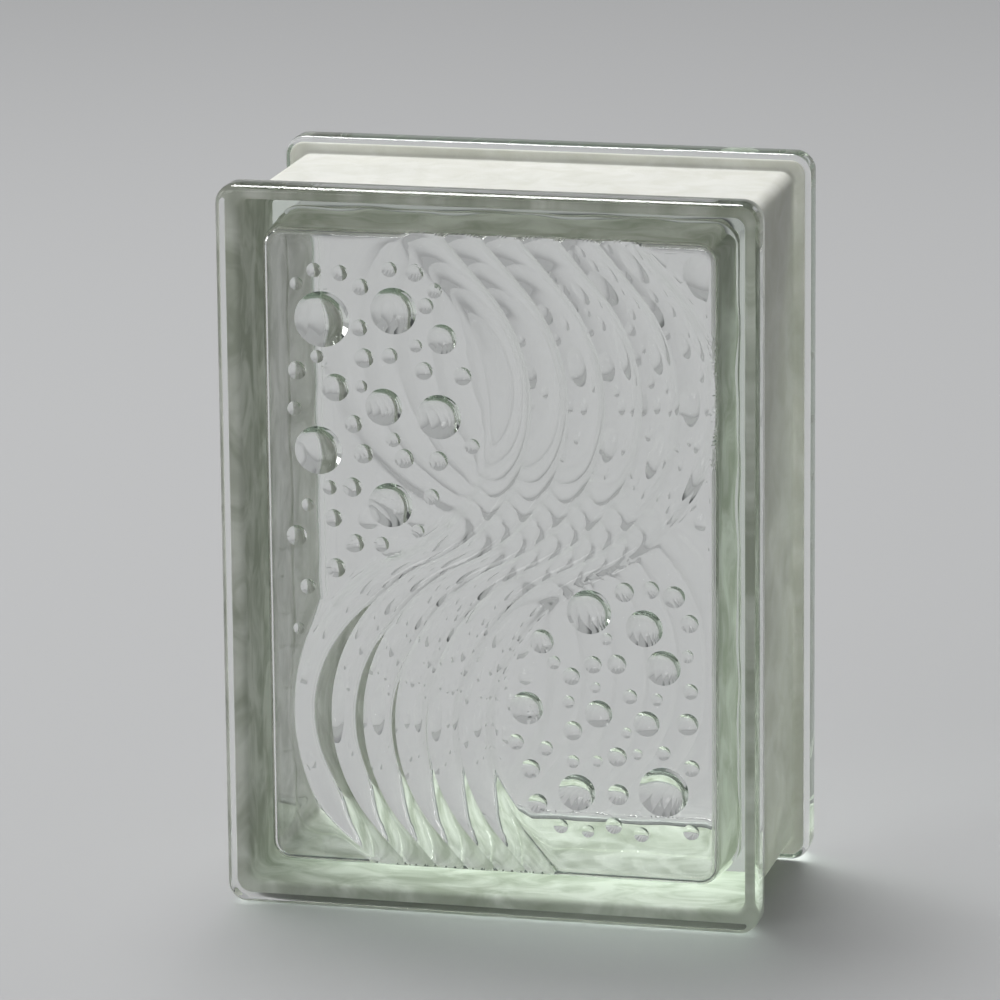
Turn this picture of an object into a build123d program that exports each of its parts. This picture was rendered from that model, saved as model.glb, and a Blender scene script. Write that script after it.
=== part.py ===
"""Hollow glass block, 6 x 8 inch nominal, thin format.

The block stands upright on a short edge, as it does on a level floor.
Origin at the middle of the footprint, +Z up, +X along the width. The front
face looks towards -Y, and the fused seam lies on the plane y = 0.

Pieces
  front_half, back_half  pressed glass dishes, fused lip to lip at the seam
  edge_coating           pale mortar key coat on the walls of the edge channel

Both halves come out of one mould. Each carries a band of reeds that runs up
its inner face in an S, with domed bubbles in the two fields beside the band.
"""
from build123d import *
from math import cos, radians, sin, sqrt, tan
import os

os.makedirs("parts", exist_ok=True)

# Overall sizes
width = 146.0
height = 197.0
depth = 79.0

# Section of a half
panel = 7.0              # glass behind the smooth outer face
wall = 5.5               # edge wall at the seam
wall_draft = 2.5         # degrees, so that the half leaves the mould
flange_depth = 9.5       # thickness of the rim, front to back
flange_rise = 5.0        # how far the rim stands out of the channel floor
rim_corner = 5.5         # corner of the rim, seen from the front
body_corner = 3.0        # corner of the channel floor, seen from the front
cavity_corner = 6.5      # corner of the cavity, seen from the front
rim_round = 2.6          # edge between the outer face and the rim
rim_back_round = 1.0     # edge between the rim and the channel
channel_bevel = 1.5      # slope where the rim meets the channel floor
inner_round = 3.0        # where the edge wall meets the panel

# Reeds: an S of two equal arcs, repeated sideways
reed_count = 6
reed_pitch_low = 8.1     # spacing at the foot of the block
reed_pitch_high = 10.6   # spacing at the head of the block
reed_crest = 1.9         # glass above the panel along the crests
reed_sag = 0.13          # depth of a valley as a share of the reeds' spacing across them
reed_radius = 47.2       # radius of both arcs of the S
reed_lean = 25.0         # degrees above level at which the S passes its turning point
reed_end_angle = 42.0    # degrees from upright where each arc runs out straight
reed_turn_height = 96.5  # height of the turning point
reed_start = -25.7       # first valley at that height, from the middle of the width
reed_steps = 9           # flats along each arc

relief_root = 1.0        # depth to which reeds and bubbles run into the panel

# Bubbles: (across, up, diameter), measured from the middle of the face
bubble_rise = 0.22       # rise of a dome as a share of its diameter
bubbles = [
    (46.5, -61.5, 13.5),
    (23.0, -63.0, 10.0),
    (9.5, -40.5, 9.0),
    (46.5, -27.5, 9.5),
    (41.5, -17.0, 10.0),
    (26.6, -13.3, 12.0),
    (-27.0, 13.0, 12.0),
    (-46.5, 27.0, 13.0),
    (-13.5, 37.5, 12.0),
    (-28.5, 39.5, 10.0),
    (-45.0, 62.5, 15.0),
    (-25.5, 65.5, 12.5),
]

# Coating of the edge channel
coating = 0.5
coating_margin = 1.6     # bare glass left at the outer edge of the rim

# Worked out from the sizes above
half_depth = depth / 2
face_y = -half_depth
panel_y = face_y + panel
flange_y = face_y + flange_depth
body_width = width - 2 * flange_rise
body_height = height - 2 * flange_rise
cavity_width = body_width - 2 * wall
cavity_height = body_height - 2 * wall
cavity_depth = half_depth - panel
channel_half = half_depth - flange_depth
middle = height / 2
reed_foot = flange_rise + wall / 2   # the band ends inside the edge walls
reed_head = height - reed_foot
root_y = panel_y - relief_root
crest_y = panel_y + reed_crest
near = 0.01


def upright_plane(y):
    """A plane that faces the front, at depth y, centred on the block."""
    return Plane(origin=(0, y, middle), x_dir=(1, 0, 0), z_dir=(0, -1, 0))


def arc_point(angle):
    """Upper arc of the S where it leans by that angle: across, up and angle."""
    across = reed_radius * (cos(radians(angle)) - sin(radians(reed_lean)))
    up = reed_radius * (sin(radians(angle)) + cos(radians(reed_lean)))
    return across, up, angle


def s_arm(reach):
    """Upper arc of the S in even steps, run out straight to the height reach."""
    first_angle = reed_lean - 90
    step_angle = (reed_end_angle - first_angle) / reed_steps
    points = [arc_point(first_angle + step_angle * step) for step in range(reed_steps + 1)]
    points = [point for point in points if point[1] < reach - near]
    across, up, angle = points[-1]
    return points + [(across - (reach - up) * tan(radians(angle)), reach, angle)]


def s_points():
    """Points of the whole S from foot to head, measured from its turning point."""
    lower = s_arm(reed_turn_height - reed_foot)
    upper = s_arm(reed_head - reed_turn_height)
    return [(-across, -up, angle) for across, up, angle in reversed(lower[1:])] + upper


def reed_pitch(z):
    """Spacing of the reeds at height z."""
    return reed_pitch_low + (reed_pitch_high - reed_pitch_low) * z / height


def reed_section(z, angle):
    """Depth y of the valleys at height z, and how far the band's flanks reach out sideways."""
    lean = cos(radians(angle))
    half_reed = reed_pitch(z) * lean / 2
    sag = reed_sag * 2 * half_reed
    radius = (half_reed**2 + sag**2) / (2 * sag)
    flank = sqrt(radius**2 - (radius - reed_crest - relief_root) ** 2)
    return panel_y + reed_crest - sag, flank / lean


def edges_at(part, y):
    """Edges of a part that lie in the upright plane at depth y."""
    return part.edges().filter_by_position(Axis.Y, y - near, y + near)


def floor_edges(part, y, offset=0.0):
    """Edges at depth y that lie on the channel floor, or that far above it."""
    half_width = body_width / 2 + offset + near
    half_height = body_height / 2 + offset + near
    return [
        edge
        for edge in edges_at(part, y)
        if abs(edge.center().X) < half_width and abs(edge.center().Z - middle) < half_height
    ]


def bubble_cap(diameter):
    """A dome along +Y, with a root that sinks into the panel."""
    rise = bubble_rise * diameter
    radius = (diameter**2 / 4 + rise**2) / (2 * rise)
    with BuildPart() as cap:
        with BuildSketch():
            with Locations((0, rise - radius)):
                Circle(radius)
            with Locations((0, -relief_root)):
                Rectangle(
                    radius,
                    rise + relief_root,
                    align=(Align.MIN, Align.MIN),
                    mode=Mode.INTERSECT,
                )
        revolve(axis=Axis.Y)
    return cap.part


# Reed band of one half: level sections, each a row of arcs, joined by straight rules
with BuildPart() as reed_band:
    for across, up, angle in s_points():
        level = reed_turn_height + up
        valley_y, flank = reed_section(level, angle)
        pitch = reed_pitch(level)
        first_valley = reed_start + across + pitch
        first_crest = first_valley - pitch / 2
        last_crest = first_crest + (reed_count - 1) * pitch
        last_valley = last_crest - pitch / 2
        first_foot = (first_crest - flank, root_y)
        last_foot = (last_crest + flank, root_y)
        with BuildSketch(Plane.XY.offset(level)):
            with BuildLine():
                TangentArc((first_crest, crest_y), first_foot, tangent=(-1, 0))
                TangentArc((first_crest, crest_y), (first_valley, valley_y), tangent=(1, 0))
                for reed in range(reed_count - 2):
                    start = first_valley + reed * pitch
                    ThreePointArc(
                        (start, valley_y),
                        (start + pitch / 2, crest_y),
                        (start + pitch, valley_y),
                    )
                TangentArc((last_crest, crest_y), (last_valley, valley_y), tangent=(-1, 0))
                TangentArc((last_crest, crest_y), last_foot, tangent=(1, 0))
                Line(first_foot, last_foot)
            make_face()
    loft(ruled=True)

caps = [bubble_cap(diameter) for across, up, diameter in bubbles]

# Front half: rim and body, hollowed from the seam side
with BuildPart() as front_half:
    with BuildSketch(upright_plane(face_y)):
        RectangleRounded(width, height, rim_corner)
    extrude(amount=-flange_depth)
    fillet(edges_at(front_half, face_y), rim_round)
    fillet(edges_at(front_half, flange_y), rim_back_round)
    with BuildSketch(upright_plane(flange_y)):
        RectangleRounded(body_width, body_height, body_corner)
    extrude(amount=-channel_half)
    chamfer(floor_edges(front_half, flange_y), channel_bevel)
    with BuildSketch(upright_plane(0)):
        RectangleRounded(cavity_width, cavity_height, cavity_corner)
    extrude(amount=cavity_depth, taper=wall_draft, mode=Mode.SUBTRACT)
    fillet(edges_at(front_half, panel_y), inner_round)
    add(reed_band.part)
    for (across, up, diameter), cap in zip(bubbles, caps):
        with Locations((across, panel_y, middle + up)):
            add(cap)
front_half.part.label = "front_half"
export_step(front_half.part, "parts/front_half.step")

# Back half: the same moulding, turned round to meet the front half at the seam
with BuildPart() as back_half:
    add(front_half.part, rotation=(0, 0, 180))
back_half.part.label = "back_half"
export_step(back_half.part, "parts/back_half.step")

# Space left in the channel inside the coating
space_half = channel_half - coating
with BuildPart() as channel_space:
    with BuildSketch(upright_plane(-space_half)):
        RectangleRounded(width, height, rim_corner)
        RectangleRounded(
            body_width + 2 * coating,
            body_height + 2 * coating,
            body_corner + coating,
            mode=Mode.SUBTRACT,
        )
    extrude(amount=-2 * space_half)
    for y in (-space_half, space_half):
        chamfer(floor_edges(channel_space, y, coating), channel_bevel - coating * (2 - sqrt(2)))

# Edge coating: a skin on the floor and both sides of the channel
with BuildPart() as edge_coating:
    with BuildSketch(upright_plane(-channel_half)):
        RectangleRounded(
            width - 2 * coating_margin,
            height - 2 * coating_margin,
            rim_corner - coating_margin,
        )
        RectangleRounded(body_width, body_height, body_corner, mode=Mode.SUBTRACT)
    extrude(amount=-2 * channel_half)
    for y in (-channel_half, channel_half):
        chamfer(floor_edges(edge_coating, y), channel_bevel)
    add(channel_space.part, mode=Mode.SUBTRACT)
edge_coating.part.label = "edge_coating"
export_step(edge_coating.part, "parts/edge_coating.step")
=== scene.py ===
"""Looks of the hollow glass block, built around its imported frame.

The two pressed halves are fused in the real block, so one closed glass body with
a sealed inner skin stands for both. Its inner faces carry the fine relief: a band
of reeds in an S, and bubbles in the two fields beside it. The edge coating lies
in optical contact with the glass of the channel.
"""
import math

import bmesh
import bpy
import numpy as np
from mathutils import Matrix, Vector
from mathutils.geometry import delaunay_2d_cdt


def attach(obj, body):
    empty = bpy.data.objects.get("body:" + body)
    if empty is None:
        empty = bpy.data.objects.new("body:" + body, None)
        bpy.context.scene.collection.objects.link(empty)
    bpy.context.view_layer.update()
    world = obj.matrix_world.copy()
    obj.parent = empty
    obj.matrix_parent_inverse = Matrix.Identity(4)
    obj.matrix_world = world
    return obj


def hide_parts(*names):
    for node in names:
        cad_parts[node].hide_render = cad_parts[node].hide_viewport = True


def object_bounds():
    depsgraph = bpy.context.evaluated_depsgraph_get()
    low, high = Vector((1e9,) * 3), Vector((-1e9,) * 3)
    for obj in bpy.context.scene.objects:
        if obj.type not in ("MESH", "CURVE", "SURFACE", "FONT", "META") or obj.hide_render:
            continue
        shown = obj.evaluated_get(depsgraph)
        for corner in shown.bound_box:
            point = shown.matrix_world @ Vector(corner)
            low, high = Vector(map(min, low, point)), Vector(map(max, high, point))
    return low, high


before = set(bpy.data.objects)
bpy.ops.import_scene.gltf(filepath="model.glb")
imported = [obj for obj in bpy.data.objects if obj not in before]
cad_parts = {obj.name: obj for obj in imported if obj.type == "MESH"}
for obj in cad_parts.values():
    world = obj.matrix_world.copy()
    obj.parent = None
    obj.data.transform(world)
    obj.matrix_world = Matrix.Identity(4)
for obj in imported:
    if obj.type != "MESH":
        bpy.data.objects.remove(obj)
cad_low, cad_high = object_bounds()

MM = 0.001

# Block, from the frame
width = cad_high.x - cad_low.x
height = cad_high.z - cad_low.z
depth = cad_high.y - cad_low.y
half_depth = depth / 2
middle = height / 2

# Section of the glass
panel = 7.0 * MM
wall = 5.5 * MM
wall_draft = math.radians(2.5)
flange_depth = 9.5 * MM
flange_rise = 5.0 * MM
rim_corner = 5.5 * MM
body_corner = 3.0 * MM
cavity_corner = 6.5 * MM
rim_round = 2.6 * MM
rim_back_round = 1.2 * MM
channel_round = 1.5 * MM
inner_round = 3.0 * MM
seam_bead = 0.45 * MM      # how far the fused lips bulge into the cavity
seam_reach = 1.6 * MM      # half the width of that bulge
wall_swell = 0.35 * MM     # unevenness of the edge walls at the seam
swell_waves = (            # share of it, radians per metre across, deep and up, and phase
    (0.3, 410, 0, 0, 1.3),
    (0.3, 150, 0, 330, 0.0),
    (0.4, 190, 260, 190, 0.0),
)

# Reeds: an S of two equal arcs, repeated sideways
reed_count = 6
reed_pitch_low = 8.1 * MM
reed_pitch_high = 10.6 * MM
reed_crest = 1.9 * MM
reed_sag = 0.13            # depth of a valley as a share of the reeds' spacing across them
reed_radius = 47.2 * MM
reed_lean = math.radians(25.0)
reed_end_angle = math.radians(42.0)
reed_turn_height = 96.5 * MM
reed_start = -25.7 * MM

# Bubbles in millimetres: (across, up, diameter) from the middle of the face
bubble_rise = 0.22
lower_right_bubbles = [
    (46.5, -61.5, 13.5), (23.0, -63.0, 10.0), (9.5, -40.5, 9.0), (46.5, -27.5, 9.5),
    (41.5, -17.0, 10.0), (26.6, -13.3, 12.0), (29.0, -41.0, 7.5), (42.0, -43.0, 7.0),
    (53.0, -42.5, 6.0), (22.0, -46.0, 5.3), (13.7, -22.0, 6.6), (10.4, -57.2, 5.3),
    (12.3, -66.6, 5.3), (34.0, -52.5, 5.3), (34.2, -62.9, 5.8), (37.5, -35.8, 4.1),
    (53.8, -33.5, 4.3), (34.0, -27.1, 5.3), (27.6, -27.6, 4.8), (21.7, -31.1, 4.8),
    (20.9, -38.2, 3.5), (17.0, -27.6, 3.7), (49.5, -8.0, 6.0), (53.6, -15.0, 5.0),
    (36.1, -7.4, 5.3), (43.2, -6.4, 4.8), (14.6, -51.3, 4.1), (54.0, -54.5, 4.6),
    (33.0, -71.5, 4.6), (54.0, -72.0, 4.4), (22.0, -54.5, 3.6), (28.6, -54.0, 3.2),
    (44.8, -36.2, 3.4), (36.6, -45.8, 3.0), (53.0, -24.0, 3.6), (31.2, -20.4, 3.4),
    (18.6, -72.5, 4.0), (26.0, -73.5, 3.6), (40.5, -73.5, 4.2), (46.5, -50.8, 4.0),
    (39.5, -51.5, 3.0), (28.2, -33.8, 3.0), (6.5, -50.0, 4.4),
]
upper_left_bubbles = [
    (-45.0, 62.5, 15.0), (-46.5, 27.0, 13.0), (-13.5, 37.5, 12.0), (-25.5, 65.5, 12.5),
    (-28.5, 39.5, 10.0), (-27.0, 13.0, 12.0), (-12.5, 58.5, 8.0), (-47.0, 75.6, 4.0),
    (-40.0, 75.1, 4.4), (-34.4, 71.6, 4.6), (-34.9, 60.6, 4.6), (-33.7, 52.5, 5.3),
    (-26.7, 53.4, 4.4), (-16.8, 67.2, 4.4), (-17.5, 49.8, 4.9), (-7.0, 48.8, 4.9),
    (-41.6, 44.2, 7.5), (-36.8, 34.6, 4.9), (-34.2, 26.6, 5.3), (-37.4, 17.4, 5.3),
    (-43.6, 17.0, 4.0), (-4.6, 30.0, 4.2), (-13.8, 25.6, 5.3), (-23.1, 25.8, 5.3),
    (-42.7, 8.7, 4.9), (-36.7, 2.2, 4.9), (-42.2, -4.9, 5.3), (-49.6, 12.0, 3.5),
    (-15.8, 15.8, 4.4), (-19.6, 6.3, 3.6), (-52.0, 48.4, 5.0), (-52.8, 38.0, 4.0),
    (-52.8, 3.4, 5.6), (-50.0, -10.4, 4.2), (-26.5, 76.6, 4.2), (-19.6, 76.0, 4.8),
    (-14.4, 71.4, 4.2), (-52.6, -22.0, 3.2), (-26.0, 30.8, 4.0), (-19.6, 56.4, 3.6),
    (-29.6, 2.2, 4.2), (-46.5, 52.4, 3.6), (-34.5, 44.8, 3.4), (-51.8, 71.8, 3.6),
]

# Coating of the channel
coating = 0.5 * MM
coating_margin = 1.6 * MM
coating_bite = 0.12 * MM   # depth at which its inner side lies in the glass

# Finish of the glass; scales are per metre, here and below
glass_ior = 1.517
glass_tint = (0.76, 0.88, 0.74)
tint_density = 6.5
glass_shadow = (0.93, 0.96, 0.94)    # what each face lets through to the shadow
wave_scale = 60.0
wave_detail = 1.0
wave_height = 0.14 * MM
painted_trapped_glow = (0.22, 0.25, 0.22)   # painted glow: an emission that stands in for light caught inside the glass
mirrored_at_most = 4                 # after so many mirrorings it counts as caught

# Finish of the coating
coat_roughness = 0.7
coat_ior = 1.45
coat_translucency = 0.5
coat_shades = ((0.86, 0.86, 0.80), (0.94, 0.94, 0.90))
coat_mottle_scale = 90.0
painted_caustic_shades = ((0.57, 0.60, 0.52), (0.92, 0.93, 0.89))   # glass side: darker shades mottled into painted caustics, patches of light and shade
painted_caustic_scale = 60.0
mottle_detail = 3.0
mottle_roughness = 0.6
mottle_twist = 0.8
mottle_range = (0.36, 0.64)          # values of the noise that get the two shades
grain_scale = 1400.0
grain_detail = 3.0
grain_height = 0.12 * MM
grain_strength = 0.6

# Stage
floor_colour = (0.32, 0.323, 0.327)
floor_roughness = 0.6
floor_size = 14.0
fade_start = 0.7                     # distances at which the floor begins and ends to pass
fade_end = 3.5                       # into the horizon
soft_light = 0.29                    # even light of the room on matt surfaces
horizon = (0.37, 0.374, 0.379)       # the room as the eye sees it, straight or by glass
ceiling = (0.055, 0.057, 0.06)       # the same room overhead
horizon_top = 0.12                   # heights between which it darkens, as a share of the way up
ceiling_start = 0.30
lamp_target = (0, 0, 0.1)
lamps = (                            # name, place, size and power in watts
    ("key", (-0.45, 0.75, 2.3), (1.3, 1.1), 74.0),
    ("fill", (-1.4, -1.9, 1.5), (1.2, 1.2), 10.0),
    ("left", (-2.4, -0.2, 1.1), (1.1, 1.1), 10.0),
)

# Camera, as fitted to the edges of the block in the photograph
camera_yaw = math.radians(14.0)
camera_pitch = math.radians(14.05)
camera_roll = math.radians(-0.54)
camera_distance = 1.7
camera_target = (3.9 * MM, -half_depth, 115.6 * MM)
lens_pixels = 6478.0
image_pixels = 1000
sensor_width = 36.0

# Fineness of the meshes
corner_steps = 8
round_steps = 6
reed_columns = 10
flank_columns = 6
wall_steps = 6
bead_steps = 5
row_step = 1.0 * MM
field_step = 1.7 * MM
edge_step = 1.2 * MM
bubble_step = 0.8 * MM
least_turns = 14           # points round the smallest bubbles
least_rings = 3            # and rings in them
weld = 0.01 * MM
relief_blend = 0.5 * MM    # soft corner where the relief runs into the edge round
foot_blend = 1.0 * MM      # soft corner along both feet of the reed band
outline_margin = 0.1 * MM  # the band's points keep this far inside the outline
reed_margin = 0.3 * MM     # and those of the edge round this far from a valley
crease_angle = math.radians(22)


def profile_arc(centre, radius, start, end):
    """Points of an arc in a section, from one angle to another, in degrees."""
    angles = np.radians(np.linspace(start, end, round_steps + 1))
    return [(centre[0] + radius * math.cos(a), centre[1] + radius * math.sin(a)) for a in angles]


def rounded_ring(half_width, half_height, corner, y):
    """A rounded rectangle round the middle of the block, in the upright plane at depth y."""
    ring = []
    centres = ((1, 1), (-1, 1), (-1, -1), (1, -1))
    for quarter, (side, end) in enumerate(centres):
        for step in range(corner_steps + 1):
            angle = math.pi / 2 * (quarter + step / corner_steps)
            across = side * (half_width - corner) + corner * math.cos(angle)
            up = end * (half_height - corner) + corner * math.sin(angle)
            ring.append((across, y, middle + up))
    return ring


def loft_faces(ring_count, count, closed=False):
    """Faces between rings that have as many points each, numbered ring by ring."""
    faces = []
    for band in range(ring_count if closed else ring_count - 1):
        first = band * count
        second = (band + 1) % ring_count * count
        for i in range(count):
            j = (i + 1) % count
            faces.append((first + i, first + j, second + j, second + i))
    return faces


def outer_profile():
    """Section of the outer skin, front to back: (inset from the outline, depth, corner)."""
    front = -half_depth
    flange = front + flange_depth
    points = profile_arc((rim_round, front + rim_round), rim_round, 270, 180)
    points += profile_arc((rim_back_round, flange - rim_back_round), rim_back_round, 180, 90)
    section = [(inset, y, rim_corner - inset) for inset, y in points]
    slope = profile_arc(
        (flange_rise - channel_round, flange + channel_round), channel_round, 270, 360
    )
    section += [(inset, y, body_corner + flange_rise - inset) for inset, y in slope]
    return section + [(inset, -y, corner) for inset, y, corner in reversed(section)]


def inset_ring(inset, y, corner):
    return rounded_ring(width / 2 - inset, height / 2 - inset, corner, y)


def arc_point(angle):
    """Upper arc of the S where it leans by that angle, from its turning point."""
    across = reed_radius * (math.cos(angle) - math.sin(reed_lean))
    up = reed_radius * (math.sin(angle) + math.cos(reed_lean))
    return across, up


def s_place(z):
    """Sideways place of the S at height z, and its lean from upright there."""
    up = abs(z - reed_turn_height)
    side = 1 if z >= reed_turn_height else -1
    end_across, end_up = arc_point(reed_end_angle)
    if up > end_up:
        return side * (end_across - (up - end_up) * math.tan(reed_end_angle)), reed_end_angle
    angle = math.asin(up / reed_radius - math.cos(reed_lean))
    return side * arc_point(angle)[0], angle


def reed_pitch(z):
    return reed_pitch_low + (reed_pitch_high - reed_pitch_low) * z / height


def soft_max(a, b, blend):
    """The larger of two heights, with the corner between them filled over a short width."""
    near = max(blend - abs(a - b), 0.0) / blend
    return max(a, b) + near * near * blend / 4


def outer_crests(z):
    """Crests of the first and the last reed at height z."""
    first = reed_start + s_place(z)[0] + reed_pitch(z) / 2
    return first, first + (reed_count - 1) * reed_pitch(z)


def reed_section(z):
    """Lean of the reeds at height z as a cosine, and the radius of their section."""
    lean = math.cos(s_place(z)[1])
    half_reed = reed_pitch(z) * lean / 2
    sag = reed_sag * 2 * half_reed
    return lean, (half_reed**2 + sag**2) / (2 * sag)


def band_edges(z):
    """Left and right edge of the reed band at height z, where its flanks have run out."""
    first, last = outer_crests(z)
    lean, radius = reed_section(z)
    flank = math.sqrt(radius**2 - (radius - reed_crest - foot_blend) ** 2) / lean
    return first - flank, last + flank


def reed_height(x, z):
    """Height of the reeds above the panel, zero outside the band."""
    first, last = outer_crests(z)
    lean, radius = reed_section(z)
    place = (x - first) / reed_pitch(z)
    crest = min(max(round(place), 0), reed_count - 1)
    aside = min(abs(place - crest) * reed_pitch(z) * lean, radius)
    return soft_max(reed_crest - radius + math.sqrt(radius**2 - aside**2), 0.0, foot_blend)


# Outline of the panel, at the top of the round that leads into the edge wall
panel_y = -half_depth + panel
wall_slope = math.tan(wall_draft)
cavity_inset = flange_rise + wall
outline_inset = cavity_inset + wall_slope * (half_depth - panel - inner_round)
outline_half_width = width / 2 - outline_inset
outline_half_height = height / 2 - outline_inset
outline_corner = cavity_corner - outline_inset + cavity_inset


def split_steps(ring):
    """Into how many parts each side of a ring is cut, so that no part is long."""
    pairs = zip(ring, ring[1:] + ring[:1])
    return [max(1, round(math.dist(a, b) / edge_step)) for a, b in pairs]


def split_ring(ring, steps):
    """A ring with each side cut into that many parts."""
    fine = []
    for a, b, count in zip(ring, ring[1:] + ring[:1], steps):
        for part in range(count):
            share = part / count
            fine.append(tuple(p + (q - p) * share for p, q in zip(a, b)))
    return fine


outline = rounded_ring(
    outline_half_width, outline_half_height, outline_corner, panel_y + inner_round
)
outline_steps = split_steps(outline)


def from_outline(x, z):
    """Distance inside the outline of the panel."""
    dx = abs(x) - (outline_half_width - outline_corner)
    dz = abs(z - middle) - (outline_half_height - outline_corner)
    outside = math.hypot(max(dx, 0.0), max(dz, 0.0)) + min(max(dx, dz), 0.0)
    return outline_corner - outside


def edge_height(inside):
    """Height of the round that leads from the panel into the edge wall."""
    aside = inner_round - min(max(inside, 0.0), inner_round)
    return inner_round - math.sqrt(inner_round**2 - aside**2)


def bubble_height(from_middle, diameter):
    rise = bubble_rise * diameter
    radius = (diameter**2 / 4 + rise**2) / (2 * rise)
    return rise - radius + math.sqrt(max(radius**2 - from_middle**2, 0.0))


bubbles = [
    (x * MM, middle + up * MM, diameter * MM)
    for x, up, diameter in lower_right_bubbles + upper_left_bubbles
]


def is_free(x, z, margin):
    """True where no reed or bubble is within that margin."""
    left, right = band_edges(z)
    if left - margin < x < right + margin:
        return False
    return all(math.hypot(x - bx, z - bz) > d / 2 + margin for bx, bz, d in bubbles)


def edge_insets():
    """Distances from the outline at which the edge round is cut."""
    steps = range(1, round_steps + 1)
    return [inner_round * (1 - math.cos(math.pi / 2 * step / round_steps)) for step in steps]


def band_levels():
    """Heights of the rows of points in the reed band."""
    low = middle - outline_half_height
    high = middle + outline_half_height
    insets = edge_insets()
    rows = int((high - low - 2 * inner_round) / row_step)
    flat = list(np.linspace(low + inner_round, high - inner_round, rows))
    return [low + i for i in insets[:-1]] + flat + [high - i for i in reversed(insets[:-1])]


def band_columns(z):
    """Places across the reed band at height z, and which of them lie in valleys."""
    left, right = band_edges(z)
    first, last = outer_crests(z)
    inner = (reed_count - 1) * reed_columns
    places = list(np.linspace(left, first, flank_columns + 1))[:-1]
    places += list(np.linspace(first, last, inner + 1))
    places += list(np.linspace(last, right, flank_columns + 1))[1:]
    valleys = [flank_columns + reed_columns // 2 + reed_columns * i for i in range(reed_count - 1)]
    return places, valleys


def off_valleys(x, z):
    """True where a point lies clear of the valleys between the reeds."""
    places, valleys = band_columns(z)
    return min(abs(x - places[i]) for i in valleys) > reed_margin


class Relief:
    """Points (x, z, height above the panel) of one inner face, and its creases."""

    def __init__(self):
        self.points = []
        self.creases = []

    def add(self, x, z, rise):
        edge = edge_height(from_outline(x, z))
        self.points.append((x, z, soft_max(edge, rise, relief_blend)))
        return len(self.points) - 1

    def close(self, loop):
        self.creases += list(zip(loop, loop[1:] + loop[:1]))

    def add_outline(self):
        loop = []
        for x, _, z in split_ring(outline, outline_steps):
            self.points.append((x, z, inner_round))
            loop.append(len(self.points) - 1)
        self.close(loop)

    def add_band(self):
        last = {}
        for z in band_levels():
            places, valleys = band_columns(z)
            current = {}
            for column, x in enumerate(places):
                if from_outline(x, z) < outline_margin:
                    continue
                index = self.add(x, z, reed_height(x, z))
                if column in valleys:
                    current[column] = index
            self.creases += [(last[c], current[c]) for c in current if c in last]
            last = current

    def add_bubble(self, x, z, diameter):
        turns = max(least_turns, round(math.pi * diameter / bubble_step))
        rings = max(least_rings, round(diameter / 2 / bubble_step))
        self.add(x, z, bubble_height(0, diameter))
        for ring in range(1, rings + 1):
            out = diameter / 2 * ring / rings
            around = turns if ring > rings / 2 else turns // 2
            loop = []
            for step in range(around):
                angle = 2 * math.pi * step / around
                place = (x + out * math.cos(angle), z + out * math.sin(angle))
                loop.append(self.add(*place, bubble_height(out, diameter)))
            if ring == rings:
                self.close(loop)

    def add_edge_round(self):
        for inside in edge_insets():
            ring = rounded_ring(
                outline_half_width - inside,
                outline_half_height - inside,
                outline_corner - inside,
                0,
            )
            for x, _, z in split_ring(ring, outline_steps):
                if off_valleys(x, z):
                    self.add(x, z, reed_height(x, z))

    def add_fields(self):
        flat_width = 2 * (outline_half_width - inner_round)
        flat_height = 2 * (outline_half_height - inner_round)
        rows = int(flat_height / field_step)
        columns = int(flat_width / field_step)
        for row in range(1, rows):
            z = middle + flat_height * (row / rows - 0.5)
            for column in range(1, columns):
                x = flat_width * ((column + 0.5 * (row % 2)) / columns - 0.5)
                if from_outline(x, z) > inner_round and is_free(x, z, field_step / 2):
                    self.add(x, z, 0.0)


def relief_faces():
    """One inner face: points in the block's frame, and its triangles."""
    relief = Relief()
    relief.add_outline()
    relief.add_band()
    for bubble in bubbles:
        relief.add_bubble(*bubble)
    relief.add_edge_round()
    relief.add_fields()
    flat = [Vector((x / MM, z / MM)) for x, z, _ in relief.points]
    found, _, faces, origins, _, _ = delaunay_2d_cdt(flat, relief.creases, [], 0, weld / MM)
    points = []
    for place, sources in zip(found, origins):
        height_here = relief.points[sources[0]][2] if sources else 0.0
        points.append((place.x * MM, panel_y + height_here, place.y * MM))
    return points, faces


def swell_at(x, y, z):
    """Slow uneven swelling of the pressed edge walls, from -1 to 1."""
    return sum(
        share * math.sin(x * across + y * deep + z * up + phase)
        for share, across, deep, up, phase in swell_waves
    )


def wall_rings():
    """Rings of the cavity's edge wall, from the front outline to the back one."""
    seam = rounded_ring(width / 2 - cavity_inset, height / 2 - cavity_inset, cavity_corner, 0)
    front = split_ring(outline, outline_steps)
    lip = split_ring(seam, outline_steps)
    first_y = panel_y + inner_round
    depths = list(np.linspace(first_y, -seam_reach, wall_steps))
    depths += list(np.linspace(-seam_reach, 0, bead_steps + 1)[1:])
    rings = []
    for y in depths + [-y for y in reversed(depths[:-1])]:
        share = 1 - abs(y) / abs(first_y)
        bulge = 0.0
        if abs(y) < seam_reach:
            bulge = seam_bead * (0.5 + 0.5 * math.cos(math.pi * y / seam_reach))
        ring = []
        for (fx, _, fz), (lx, _, lz) in zip(front, lip):
            x = fx + (lx - fx) * share
            z = fz + (lz - fz) * share
            swell = wall_swell * share * swell_at(x, y, z)
            pull = 1 - (bulge + swell) / math.hypot(x, z - middle)
            ring.append((x * pull, y, middle + (z - middle) * pull))
        rings.append(ring)
    return rings


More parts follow.
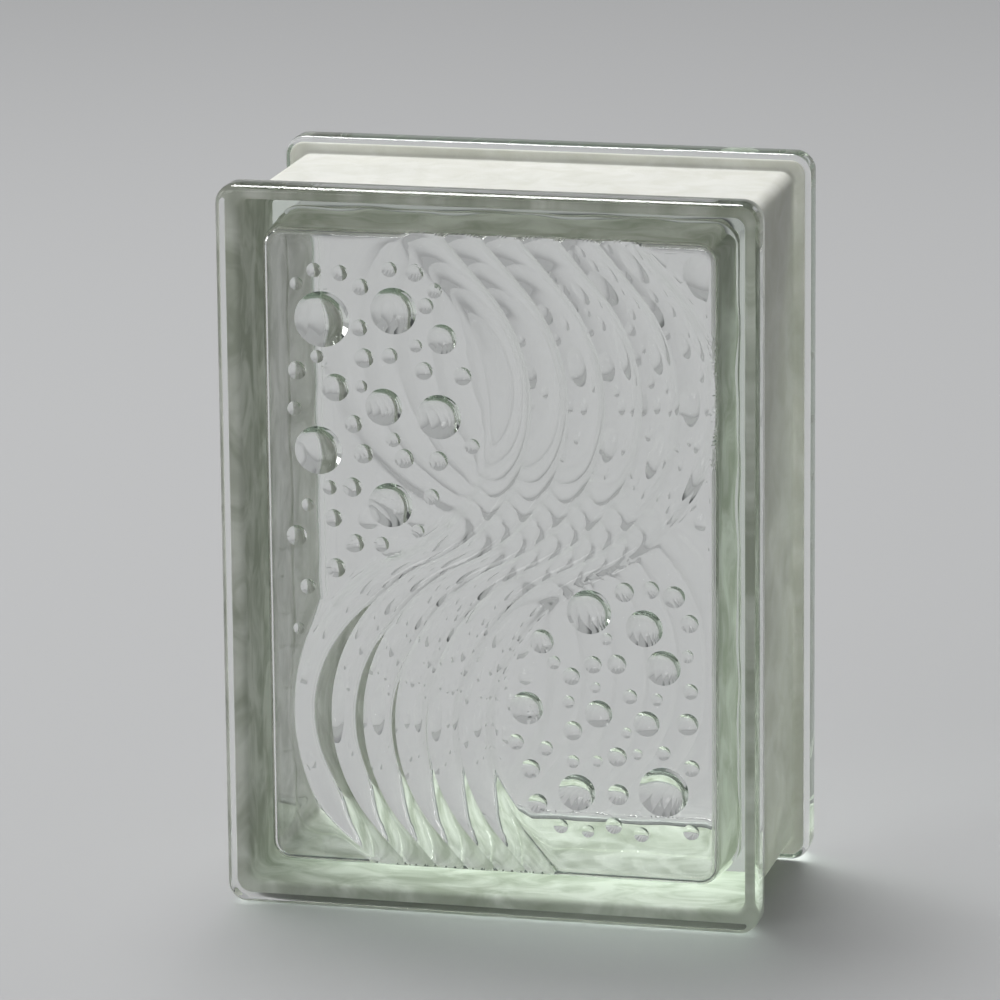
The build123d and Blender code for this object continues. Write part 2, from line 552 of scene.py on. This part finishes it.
def shell(groups, inward=False):
    """One closed shell from groups of (points, faces), welded; its faces look outward or inward."""
    work = bmesh.new()
    for points, faces in groups:
        verts = [work.verts.new(point) for point in points]
        for face in faces:
            work.faces.new([verts[i] for i in face])
    bmesh.ops.remove_doubles(work, verts=work.verts, dist=weld)
    bmesh.ops.recalc_face_normals(work, faces=work.faces)
    if inward:
        bmesh.ops.reverse_faces(work, faces=work.faces)
    mesh = bpy.data.meshes.new("shell")
    work.to_mesh(mesh)
    work.free()
    return mesh


def new_piece(name, shells, materials, nodes):
    """A piece of the object from closed shells, which stands for those nodes of the frame."""
    work = bmesh.new()
    for mesh in shells:
        work.from_mesh(mesh)
        bpy.data.meshes.remove(mesh)
    mesh = bpy.data.meshes.new(name)
    work.to_mesh(mesh)
    work.free()
    mesh.shade_smooth()
    mesh.set_sharp_from_angle(angle=crease_angle)
    for material in materials:
        mesh.materials.append(material)
    piece = bpy.data.objects.new(name, mesh)
    bpy.context.scene.collection.objects.link(piece)
    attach(piece, "root")
    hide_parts(*nodes)
    return piece


def lofted(rings, closed=False):
    """Points and faces through rings that have as many points each."""
    points = [point for ring in rings for point in ring]
    return points, loft_faces(len(rings), len(rings[0]), closed)


def glass_body():
    """The fused glass: its outer skin, and the sealed skin round its cavity."""
    points, faces = lofted([inset_ring(*place) for place in outer_profile()])
    around = len(inset_ring(0, 0, rim_corner))
    faces += [tuple(range(around)), tuple(range(len(points) - around, len(points)))]
    outer = shell([(points, faces)])

    front, triangles = relief_faces()
    back = [(-x, -y, z) for x, y, z in front]
    inner = shell([(front, triangles), (back, triangles), lofted(wall_rings())], inward=True)
    nodes = ("front_half", "back_half")
    return new_piece("glass_body", [outer, inner], [glass_material()], nodes)


def coating_profile():
    """Air side and glass side of the coating's section: (inset from the outline, depth, corner)."""
    flange = -half_depth + flange_depth
    centre = (flange_rise - channel_round, flange + channel_round)
    lip_corner = rim_corner - coating_margin
    out = [(coating_margin, flange + coating / 2, lip_corner)]
    out.append((coating_margin + coating / 2, flange + coating, lip_corner))
    air_side = profile_arc(centre, channel_round - coating, 270, 360)
    out += [(inset, y, body_corner + flange_rise - inset) for inset, y in air_side]
    under = [(coating_margin, flange - coating_bite, lip_corner)]
    glass_side = profile_arc(centre, channel_round + coating_bite, 270, 360)
    under += [(inset, y, body_corner + flange_rise - inset) for inset, y in glass_side]
    out += [(inset, -y, corner) for inset, y, corner in reversed(out)]
    under += [(inset, -y, corner) for inset, y, corner in reversed(under)]
    return out, list(reversed(under))


def edge_coat():
    """The coating, with a material for its air side and one for the side that lies on the glass."""
    air_side, glass_side = coating_profile()
    rings = [inset_ring(*place) for place in air_side + glass_side]
    skin = shell([lofted(rings, closed=True)])
    around = len(rings[0])
    first = len(air_side) * around
    last = first + (len(glass_side) - 1) * around
    for index in range(first, last):
        skin.polygons[index].material_index = 1
    materials = [
        coating_material("key_coat", coat_shades, coat_mottle_scale),
        # its glass side carries painted caustics: patches of light and shade in its colour
        coating_material("key_coat_under_glass_painted_caustics", painted_caustic_shades, painted_caustic_scale),
    ]
    return new_piece("edge_coat", [skin], materials, ["edge_coating"])


def node_tree(name):
    """An empty material, its nodes, its links and its output."""
    material = bpy.data.materials.new(name)
    material.use_nodes = True
    nodes = material.node_tree.nodes
    nodes.clear()
    return material, nodes, material.node_tree.links, nodes.new("ShaderNodeOutputMaterial")


def noise(nodes, links, scale, detail, roughness=0.5):
    """A noise texture in the object's own coordinates, with its scale per metre."""
    place = nodes.new("ShaderNodeTexCoord")
    texture = nodes.new("ShaderNodeTexNoise")
    texture.inputs["Scale"].default_value = scale
    texture.inputs["Detail"].default_value = detail
    texture.inputs["Roughness"].default_value = roughness
    links.new(place.outputs["Object"], texture.inputs["Vector"])
    return texture


def bump(nodes, links, height, distance, strength=1.0):
    """A bump of that depth from a height between nought and one."""
    node = nodes.new("ShaderNodeBump")
    node.inputs["Strength"].default_value = strength
    node.inputs["Distance"].default_value = distance
    links.new(height, node.inputs["Height"])
    return node


def glass_material():
    """Pressed glass: clear, faintly wavy, green where it is thick.

    Lamps shine through it, and a ray that is mirrored inside it more than mirrored_at_most
    times ends on a painted glow, an emission that stands in for light caught in thick glass.
    """
    material, nodes, links, output = node_tree("pressed_glass")
    glass = nodes.new("ShaderNodeBsdfPrincipled")
    glass.inputs["Base Color"].default_value = (1.0, 1.0, 1.0, 1.0)
    glass.inputs["Roughness"].default_value = 0.0
    glass.inputs["IOR"].default_value = glass_ior
    glass.inputs["Transmission Weight"].default_value = 1.0
    waves = noise(nodes, links, wave_scale, wave_detail)
    wavy = bump(nodes, links, waves.outputs["Fac"], wave_height)
    links.new(wavy.outputs["Normal"], glass.inputs["Normal"])

    clear = nodes.new("ShaderNodeBsdfTransparent")
    clear.inputs["Color"].default_value = (*glass_shadow, 1.0)
    path = nodes.new("ShaderNodeLightPath")
    lit = nodes.new("ShaderNodeMixShader")
    links.new(path.outputs["Is Shadow Ray"], lit.inputs["Fac"])
    links.new(glass.outputs["BSDF"], lit.inputs[1])
    links.new(clear.outputs["BSDF"], lit.inputs[2])

    # painted glow: emission that stands in for light caught inside the glass
    glow = nodes.new("ShaderNodeEmission")
    glow.inputs["Color"].default_value = (*painted_trapped_glow, 1.0)
    spent = nodes.new("ShaderNodeMath")
    spent.operation = "GREATER_THAN"
    spent.inputs[1].default_value = mirrored_at_most - 0.5
    links.new(path.outputs["Glossy Depth"], spent.inputs[0])
    whole = nodes.new("ShaderNodeMixShader")
    links.new(spent.outputs["Value"], whole.inputs["Fac"])
    links.new(lit.outputs["Shader"], whole.inputs[1])
    links.new(glow.outputs["Emission"], whole.inputs[2])
    links.new(whole.outputs["Shader"], output.inputs["Surface"])
    material.cycles.emission_sampling = "NONE"

    tint = nodes.new("ShaderNodeVolumeAbsorption")
    tint.inputs["Color"].default_value = (*glass_tint, 1.0)
    tint.inputs["Density"].default_value = tint_density
    links.new(tint.outputs["Volume"], output.inputs["Volume"])
    return material


def coating_material(name, shades, scale):
    """Matte off-white key coat, mottled between two shades and rough to the touch."""
    material, nodes, links, output = node_tree(name)
    coat = nodes.new("ShaderNodeBsdfPrincipled")
    coat.inputs["Roughness"].default_value = coat_roughness
    coat.inputs["IOR"].default_value = coat_ior
    # with the glass side's shades this mottle is painted caustics, patches of light and shade
    mottle = noise(nodes, links, scale, mottle_detail, mottle_roughness)
    mottle.inputs["Distortion"].default_value = mottle_twist
    ramp = nodes.new("ShaderNodeValToRGB")
    for element, position, shade in zip(ramp.color_ramp.elements, mottle_range, shades):
        element.position = position
        element.color = (*shade, 1.0)
    links.new(mottle.outputs["Fac"], ramp.inputs["Fac"])
    links.new(ramp.outputs["Color"], coat.inputs["Base Color"])
    grain = noise(nodes, links, grain_scale, grain_detail)
    rough = bump(nodes, links, grain.outputs["Fac"], grain_height, grain_strength)
    links.new(rough.outputs["Normal"], coat.inputs["Normal"])

    through = nodes.new("ShaderNodeBsdfTranslucent")
    links.new(ramp.outputs["Color"], through.inputs["Color"])
    links.new(rough.outputs["Normal"], through.inputs["Normal"])
    mix = nodes.new("ShaderNodeMixShader")
    mix.inputs["Fac"].default_value = coat_translucency
    links.new(coat.outputs["BSDF"], mix.inputs[1])
    links.new(through.outputs["BSDF"], mix.inputs[2])
    links.new(mix.outputs["Shader"], output.inputs["Surface"])
    return material


def seen_rays(nodes, links):
    """One for rays by which the eye sees a thing, straight or by glass, and nought for others."""
    path = nodes.new("ShaderNodeLightPath")
    mirror = nodes.new("ShaderNodeMath")
    mirror.operation = "MAXIMUM"
    links.new(path.outputs["Is Glossy Ray"], mirror.inputs[0])
    links.new(path.outputs["Is Transmission Ray"], mirror.inputs[1])
    seen = nodes.new("ShaderNodeMath")
    seen.operation = "MAXIMUM"
    links.new(path.outputs["Is Camera Ray"], seen.inputs[0])
    links.new(mirror.outputs["Value"], seen.inputs[1])
    return seen.outputs["Value"]


def floor_material():
    """Matt floor, which passes into the colour of the horizon far from the block."""
    material, nodes, links, output = node_tree("floor")
    paint = nodes.new("ShaderNodeBsdfPrincipled")
    paint.inputs["Base Color"].default_value = (*floor_colour, 1.0)
    paint.inputs["Roughness"].default_value = floor_roughness
    far = nodes.new("ShaderNodeEmission")
    far.inputs["Color"].default_value = (*horizon, 1.0)

    place = nodes.new("ShaderNodeTexCoord")
    away = nodes.new("ShaderNodeVectorMath")
    away.operation = "LENGTH"
    links.new(place.outputs["Object"], away.inputs[0])
    fade = nodes.new("ShaderNodeMapRange")
    fade.interpolation_type = "SMOOTHSTEP"
    fade.inputs["From Min"].default_value = fade_start
    fade.inputs["From Max"].default_value = fade_end
    links.new(away.outputs["Value"], fade.inputs["Value"])
    share = nodes.new("ShaderNodeMath")
    share.operation = "MULTIPLY"
    links.new(fade.outputs["Result"], share.inputs[0])
    links.new(seen_rays(nodes, links), share.inputs[1])
    mix = nodes.new("ShaderNodeMixShader")
    links.new(share.outputs["Value"], mix.inputs["Fac"])
    links.new(paint.outputs["BSDF"], mix.inputs[1])
    links.new(far.outputs["Emission"], mix.inputs[2])
    links.new(mix.outputs["Shader"], output.inputs["Surface"])
    material.cycles.emission_sampling = "NONE"
    return material


def add_floor():
    half = floor_size / 2
    mesh = bpy.data.meshes.new("floor")
    corners = [(-half, -half, 0), (half, -half, 0), (half, half, 0), (-half, half, 0)]
    mesh.from_pydata(corners, [], [(0, 1, 2, 3)])
    mesh.materials.append(floor_material())
    floor = bpy.data.objects.new("floor", mesh)
    bpy.context.scene.collection.objects.link(floor)


def add_world():
    """Even light on matt surfaces, but to the eye a pale room that darkens overhead."""
    world = bpy.data.worlds.new("studio")
    bpy.context.scene.world = world
    world.use_nodes = True
    nodes, links = world.node_tree.nodes, world.node_tree.links
    even = nodes["Background"]
    even.inputs["Color"].default_value = (soft_light, soft_light, soft_light, 1.0)
    place = nodes.new("ShaderNodeTexCoord")
    split = nodes.new("ShaderNodeSeparateXYZ")
    ramp = nodes.new("ShaderNodeValToRGB")
    room = nodes.new("ShaderNodeBackground")
    links.new(place.outputs["Generated"], split.inputs["Vector"])
    links.new(split.outputs["Z"], ramp.inputs["Fac"])
    ramp.color_ramp.interpolation = "EASE"
    ramp.color_ramp.elements[0].position = horizon_top
    ramp.color_ramp.elements[0].color = (*horizon, 1.0)
    ramp.color_ramp.elements[1].position = ceiling_start
    ramp.color_ramp.elements[1].color = (*ceiling, 1.0)
    links.new(ramp.outputs["Color"], room.inputs["Color"])

    mix = nodes.new("ShaderNodeMixShader")
    links.new(seen_rays(nodes, links), mix.inputs["Fac"])
    links.new(even.outputs["Background"], mix.inputs[1])
    links.new(room.outputs["Background"], mix.inputs[2])
    links.new(mix.outputs["Shader"], nodes["World Output"].inputs["Surface"])


def add_lamp(name, place, size, power):
    """A soft rectangular lamp that faces the block."""
    data = bpy.data.lights.new(name, "AREA")
    data.shape = "RECTANGLE"
    data.size, data.size_y = size
    data.energy = power
    lamp = bpy.data.objects.new(name, data)
    bpy.context.scene.collection.objects.link(lamp)
    lamp.location = place
    aim = Vector(lamp_target) - Vector(place)
    lamp.rotation_euler = aim.to_track_quat("-Z", "Y").to_euler()


def add_camera():
    """The photograph's view of the block."""
    data = bpy.data.cameras.new("camera")
    data.sensor_width = sensor_width
    data.lens = lens_pixels * sensor_width / image_pixels
    camera = bpy.data.objects.new("camera", data)
    bpy.context.scene.collection.objects.link(camera)
    flat = math.cos(camera_pitch)
    away = Vector((
        math.sin(camera_yaw) * flat,
        -math.cos(camera_yaw) * flat,
        math.sin(camera_pitch),
    ))
    camera.location = Vector(camera_target) + camera_distance * away
    turn = (-away).to_track_quat("-Z", "Y").to_matrix().to_4x4()
    camera.matrix_world = (
        Matrix.Translation(camera.location) @ turn @ Matrix.Rotation(camera_roll, 4, "Z")
    )
    bpy.context.scene.camera = camera


glass_body()
edge_coat()
add_floor()
add_world()
for lamp in lamps:
    add_lamp(*lamp)
add_camera()
bpy.context.scene.view_settings.view_transform = "Standard"
